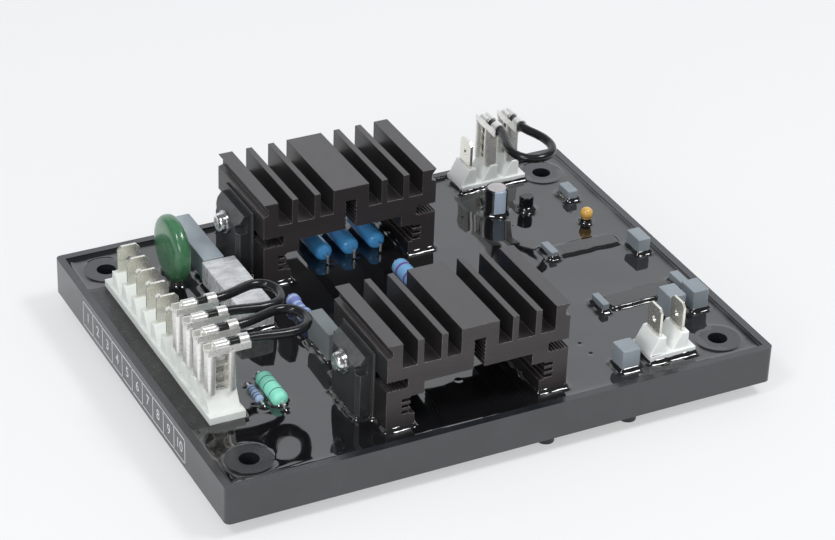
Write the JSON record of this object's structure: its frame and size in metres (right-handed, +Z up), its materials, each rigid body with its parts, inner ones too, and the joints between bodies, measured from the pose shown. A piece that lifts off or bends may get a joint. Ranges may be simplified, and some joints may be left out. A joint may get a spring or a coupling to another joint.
{
  "type": "automatic voltage regulator",
  "caption": "Potted automatic voltage regulator: resin-filled tray with finned heat sinks, blade terminals with wire jumpers, board components and slotted adjusters under the front edge.",
  "frame": {"origin": "under the centre of the tray, on the plane that its four feet stand on", "axes": "+X along the long side, from the ten-way terminal strip to the other end; +Y from the edge with the adjusters to the far edge; +Z up out of the tray"},
  "size_m": [0.16, 0.121, 0.0405],
  "materials": {
    "tray_plastic": "satin moulded",
    "resin": "poured, mirror gloss",
    "board": "satin",
    "black_anodised": "satin anodised",
    "insulator": "satin",
    "package": "satin moulded",
    "zinc_steel": "bright zinc",
    "nylon": "milky satin",
    "nickel_brass": "nickel plated",
    "tinned_brass": "tin plated",
    "wire_cover": "satin",
    "varistor_coating": "gloss dipped",
    "grey_case": "satin",
    "clear_cover": "frosted clear",
    "fuse_glass": "clear",
    "fuse_metal": "nickel plated",
    "blue_lacquer": "gloss lacquer",
    "pale_blue_lacquer": "gloss lacquer",
    "violet_lacquer": "gloss lacquer",
    "mint_lacquer": "satin lacquer",
    "sleeve": "gloss sleeve",
    "amber_resin": "gloss dipped",
    "trimmer_plastic": "satin",
    "spindle_plastic": "satin",
    "red_lens": "tinted lens"
  },
  "bodies": {
    "unit": {"tray": "tray_plastic", "potting_resin": "resin", "circuit_board": "board", "heat_sink_front": "black_anodised", "heat_sink_rear": "black_anodised", "insulator_front": "insulator", "insulator_rear": "insulator", "power_device_front": "package", "power_device_rear": "package", "transistor": "package", "ic_rear": "package", "ic_front": "package", "clamp_screw_front": "zinc_steel", "clamp_screw_rear": "zinc_steel", "clamp_washers": "zinc_steel", "terminal_strip": "nylon", "rear_terminal_block": "nylon", "side_terminal_block": "nylon", "strip_tabs": "nickel_brass", "rear_tabs": "nickel_brass", "side_tabs": "nickel_brass", "receptacle_7": "tinned_brass", "receptacle_8": "tinned_brass", "receptacle_9": "tinned_brass", "receptacle_10": "tinned_brass", "rear_receptacle_left": "tinned_brass", "rear_receptacle_right": "tinned_brass", "jumper_7_8": "wire_cover", "jumper_9_10": "wire_cover", "rear_jumper": "wire_cover", "varistor": "varistor_coating", "mains_capacitor": "grey_case", "snubber_capacitor": "grey_case", "film_capacitor_a": "grey_case", "film_capacitor_b": "grey_case", "film_capacitor_c": "grey_case", "film_capacitor_d": "grey_case", "film_capacitor_e": "grey_case", "film_capacitor_f": "grey_case", "film_capacitor_g": "grey_case", "film_capacitor_h": "grey_case", "fuse_cover": "clear_cover", "fuse_glass": "fuse_glass", "fuse_caps": "fuse_metal", "fuse_clips": "fuse_metal", "power_resistor_left": "blue_lacquer", "power_resistor_middle": "blue_lacquer", "power_resistor_right": "blue_lacquer", "pale_blue_resistor": "pale_blue_lacquer", "small_resistor": "pale_blue_lacquer", "violet_resistor": "violet_lacquer", "mint_resistor": "mint_lacquer", "electrolytic_capacitor": "sleeve", "bead_capacitor": "amber_resin", "trimmer_body_left": "trimmer_plastic", "trimmer_body_right": "trimmer_plastic", "status_led": "red_lens"},
    "adjuster_left": {"trimmer_spindle_left": "spindle_plastic"},
    "adjuster_right": {"trimmer_spindle_right": "spindle_plastic"}
  },
  "joints": [
    {"name": "adjuster_left_turn", "type": "hinge", "parent": "unit", "child": "adjuster_left", "pos_m": [0.0136, -0.055, 0.0044], "axis": [0, 0, 1], "range_deg": [-130, 130]},
    {"name": "adjuster_right_turn", "type": "hinge", "parent": "unit", "child": "adjuster_right", "pos_m": [0.0386, -0.055, 0.0044], "axis": [0, 0, 1], "range_deg": [-130, 130]}
  ]
}
